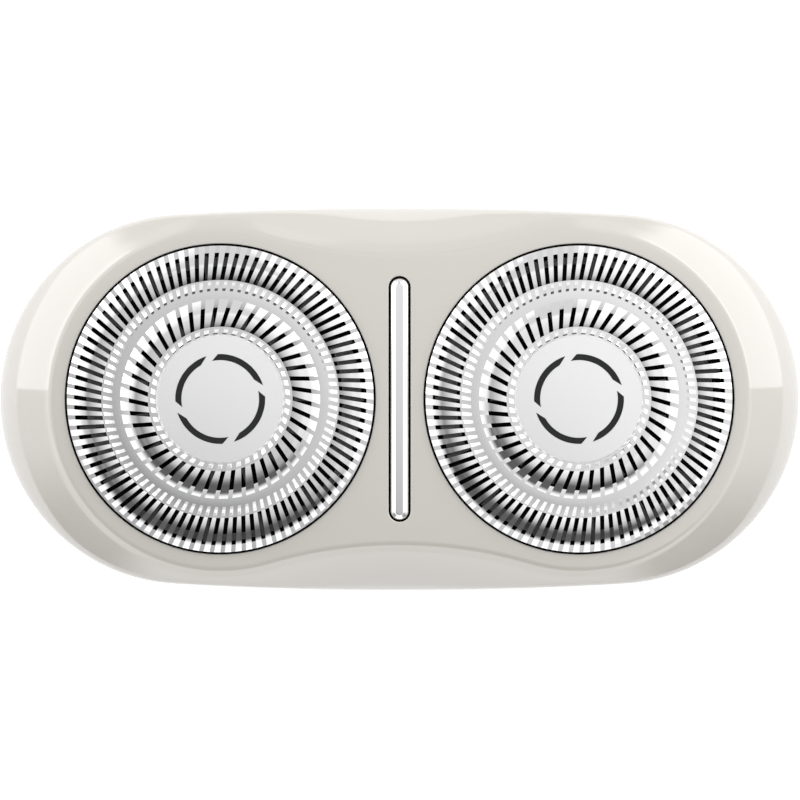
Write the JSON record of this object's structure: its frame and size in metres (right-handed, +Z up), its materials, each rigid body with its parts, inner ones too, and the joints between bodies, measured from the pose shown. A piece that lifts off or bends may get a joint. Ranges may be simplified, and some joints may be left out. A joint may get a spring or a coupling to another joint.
{
  "type": "rotary shaver head",
  "caption": "Waisted dry-shaver head with two sprung slotted comb discs over spinning cutters, a lift-off cover and a geared hair chamber base",
  "frame": {"origin": "centre of the underside, on the neck's axis, at the height of the lowest face", "axes": "+X along the length through both discs, +Y across the width, +Z up out of the shaving face"},
  "size_m": [0.0624, 0.0298, 0.021],
  "materials": {
    "cover_plastic": "glossy light cream",
    "housing_plastic": "glossy light cream",
    "black_plastic": "matte black",
    "gear_plastic": "matt off-white",
    "seal_rubber": "matt black",
    "comb_steel": "polished",
    "cap_steel": "satin",
    "cutter_steel": "ground",
    "bright_trim": "bright",
    "steel": "satin",
    "magnet": "plated"
  },
  "bodies": {
    "base": {"base_shell": "housing_plastic", "bottom_plate": "housing_plastic", "base_gasket": "seal_rubber", "plate_screws": "steel", "input_bush": "gear_plastic", "base_magnets": "magnet", "left_gear_axle": "steel", "right_gear_axle": "steel", "left_spindle_seal": "seal_rubber", "right_spindle_seal": "seal_rubber"},
    "input": {"input_pinion": "gear_plastic"},
    "cover": {"head_cover": "cover_plastic", "inner_frame": "black_plastic", "trim_bar": "bright_trim", "retaining_plate": "black_plastic", "cover_strike_plates": "steel"},
    "retainer": {"retainer_knob": "gear_plastic"},
    "left_drive": {"left_drive_gear": "gear_plastic", "left_coupler_spring": "steel"},
    "left_coupling": {"left_coupler": "gear_plastic"},
    "left_disc": {"left_comb": "comb_steel", "left_comb_cap": "cap_steel"},
    "left_cutter": {"left_cutter_blades": "cutter_steel", "left_cutter_hub": "black_plastic"},
    "right_drive": {"right_drive_gear": "gear_plastic", "right_coupler_spring": "steel"},
    "right_coupling": {"right_coupler": "gear_plastic"},
    "right_disc": {"right_comb": "comb_steel", "right_comb_cap": "cap_steel"},
    "right_cutter": {"right_cutter_blades": "cutter_steel", "right_cutter_hub": "black_plastic"}
  },
  "joints": [
    {"name": "input_spin", "type": "hinge", "parent": "base", "child": "input", "pos_m": [0, 0, 0.005], "axis": [0, 0, 1], "continuous": true},
    {"name": "cover_lift", "type": "slide", "parent": "base", "child": "cover", "axis": [0, 0, 1], "range_m": [0, 0.014]},
    {"name": "retainer_knob_turn", "type": "hinge", "parent": "cover", "child": "retainer", "pos_m": [0, 0, 0.0139], "axis": [0, 0, 1], "range_deg": [0, 90]},
    {"name": "left_gear_spin", "type": "hinge", "parent": "base", "child": "left_drive", "pos_m": [-0.014, 0, 0.005], "axis": [0, 0, 1], "continuous": true},
    {"name": "left_comb_float", "type": "slide", "parent": "cover", "child": "left_disc", "axis": [0, 0, 1], "range_m": [-0.0008, 0], "stiffness_N_per_m": 300, "springref_m": 0.0015},
    {"name": "left_cutter_spin", "type": "hinge", "parent": "left_disc", "child": "left_cutter", "pos_m": [-0.014, 0, 0.018], "axis": [0, 0, 1], "continuous": true},
    {"name": "left_coupler_slide", "type": "slide", "parent": "left_drive", "child": "left_coupling", "axis": [0, 0, 1], "range_m": [-0.0008, 0], "deforming": ["left_coupler_spring"]},
    {"name": "right_gear_spin", "type": "hinge", "parent": "base", "child": "right_drive", "pos_m": [0.014, 0, 0.005], "axis": [0, 0, 1], "continuous": true},
    {"name": "right_comb_float", "type": "slide", "parent": "cover", "child": "right_disc", "axis": [0, 0, 1], "range_m": [-0.0008, 0], "stiffness_N_per_m": 300, "springref_m": 0.0015},
    {"name": "right_cutter_spin", "type": "hinge", "parent": "right_disc", "child": "right_cutter", "pos_m": [0.014, 0, 0.018], "axis": [0, 0, 1], "continuous": true},
    {"name": "right_coupler_slide", "type": "slide", "parent": "right_drive", "child": "right_coupling", "axis": [0, 0, 1], "range_m": [-0.0008, 0], "deforming": ["right_coupler_spring"]}
  ],
  "couplings": [
    {"joint": "left_gear_spin", "follows": "input_spin", "ratio": -0.4},
    {"joint": "left_cutter_spin", "follows": "input_spin", "ratio": -0.4},
    {"joint": "left_coupler_slide", "follows": "left_comb_float", "ratio": 1},
    {"joint": "right_gear_spin", "follows": "input_spin", "ratio": -0.4},
    {"joint": "right_cutter_spin", "follows": "input_spin", "ratio": -0.4},
    {"joint": "right_coupler_slide", "follows": "right_comb_float", "ratio": 1}
  ]
}
